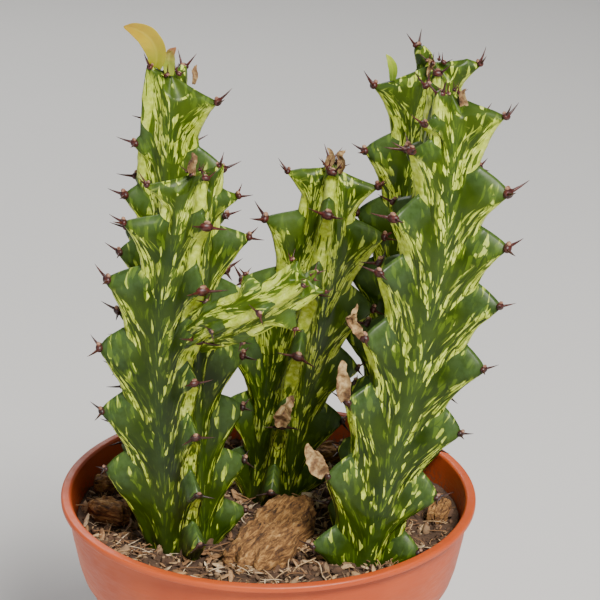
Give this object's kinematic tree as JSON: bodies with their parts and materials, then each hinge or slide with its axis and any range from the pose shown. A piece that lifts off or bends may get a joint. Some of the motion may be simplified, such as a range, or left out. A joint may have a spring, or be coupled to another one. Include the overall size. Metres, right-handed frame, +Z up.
{
  "type": "potted euphorbia",
  "caption": "Variegated four-ribbed succulent with saw-toothed upright stems, a side branch, leaves and bark-topped potting mix in a round thin plastic nursery pot",
  "frame": {"origin": "middle of the pot's flat underside, which the whole plant stands on", "axes": "+Z up along the pot's axis, which is also the longest way; -Y is the front, where the side branch leans out; +X to the right"},
  "size_m": [0.1066, 0.105, 0.2005],
  "materials": {
    "pot_plastic": "terracotta-coloured thin moulded plastic, faint sheen",
    "potting_mix": "dark loose potting mix with fibres and grit",
    "stem": "waxy green succulent skin streaked with cream",
    "leaf": "thin waxy leaf, yellow to green",
    "dried_leaf": "shrivelled dry leaf, tan",
    "bark": "rough broken bark, orange-brown"
  },
  "bodies": {
    "root": {"pot": "pot_plastic", "potting_mix": "potting_mix", "stem_left_front": "stem", "stem_left_rear": "stem", "stem_middle": "stem", "stem_right_front": "stem", "stem_right_rear": "stem", "side_branch": "stem", "leaf_yellow": "leaf", "leaf_young": "leaf", "leaf_small_green": "leaf", "dried_leaf_upper": "dried_leaf", "dried_leaf_middle": "dried_leaf", "dried_leaf_lower": "dried_leaf", "dried_leaf_middle_stem": "dried_leaf", "bark_chunk": "bark", "bark_piece_left": "bark", "bark_piece_rim": "bark", "bark_piece_rear": "bark", "bark_piece_right": "bark"}
  },
  "joints": []
}
